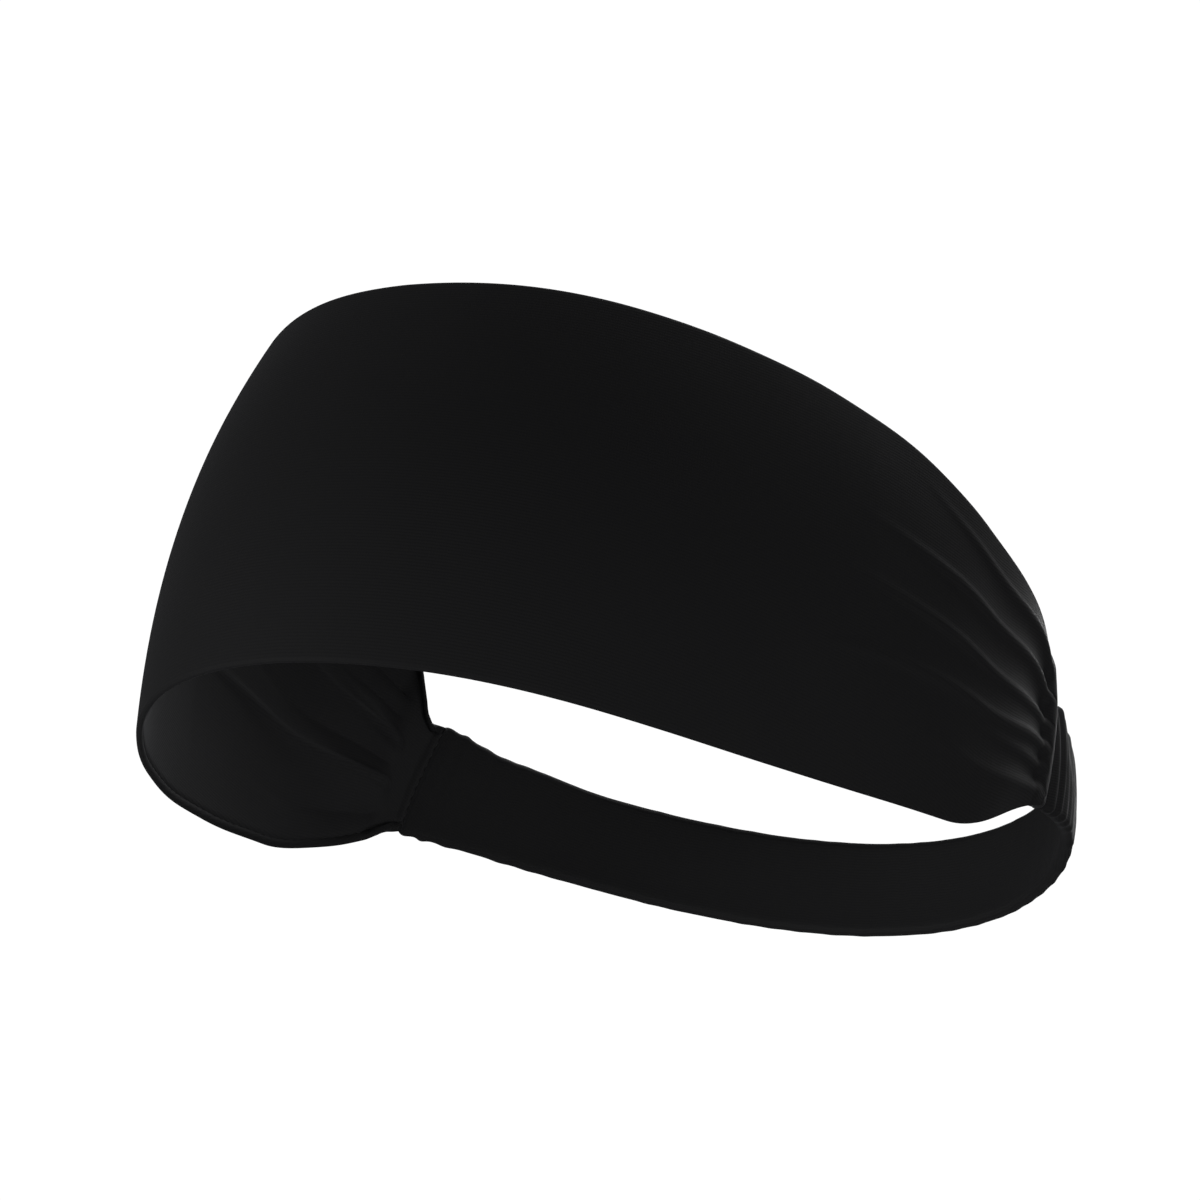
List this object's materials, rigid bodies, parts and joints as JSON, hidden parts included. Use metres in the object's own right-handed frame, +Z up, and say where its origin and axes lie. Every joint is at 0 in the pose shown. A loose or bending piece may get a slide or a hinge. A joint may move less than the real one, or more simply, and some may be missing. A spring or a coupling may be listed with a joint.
{
  "type": "sports headband",
  "caption": "Wide stretch sports headband: a smooth two-layer knit front panel gathered at each side into a narrow ruched elastic back band.",
  "frame": {"origin": "centre of the head opening, on the wearer's upright axis", "axes": "+Z up along the wearer's head, -Y towards the front of the face, +X towards the wearer's left; the front of the band is raised as it is worn"},
  "size_m": [0.1658, 0.191, 0.1147],
  "materials": {
    "knit_outer": "black fine stretch knit, soft sheen",
    "knit_lining": "black fine stretch knit lining, matt",
    "knit_band": "black stretch knit, ruched",
    "elastic": "black braided elastic",
    "thread": "black polyester sewing thread"
  },
  "bodies": {
    "front_panel": {"panel_outer_fabric": "knit_outer", "panel_lining": "knit_lining", "lower_rim_seam": "thread", "upper_rim_seam": "thread", "neck_gather_threads_left": "thread", "neck_gather_threads_right": "thread", "seam_allowance_left": "knit_lining", "seam_allowance_right": "knit_lining", "neck_seam_left": "thread", "neck_seam_right": "thread"},
    "back_band": {"band_casing": "knit_band", "band_elastic": "elastic", "casing_seam": "thread", "elastic_tack_left": "thread", "elastic_tack_right": "thread"}
  },
  "joints": [
    {"name": "band_stretch", "type": "slide", "parent": "front_panel", "child": "back_band", "axis": [0, 1, 0], "range_m": [0, 0.03], "stiffness_N_per_m": 120}
  ]
}
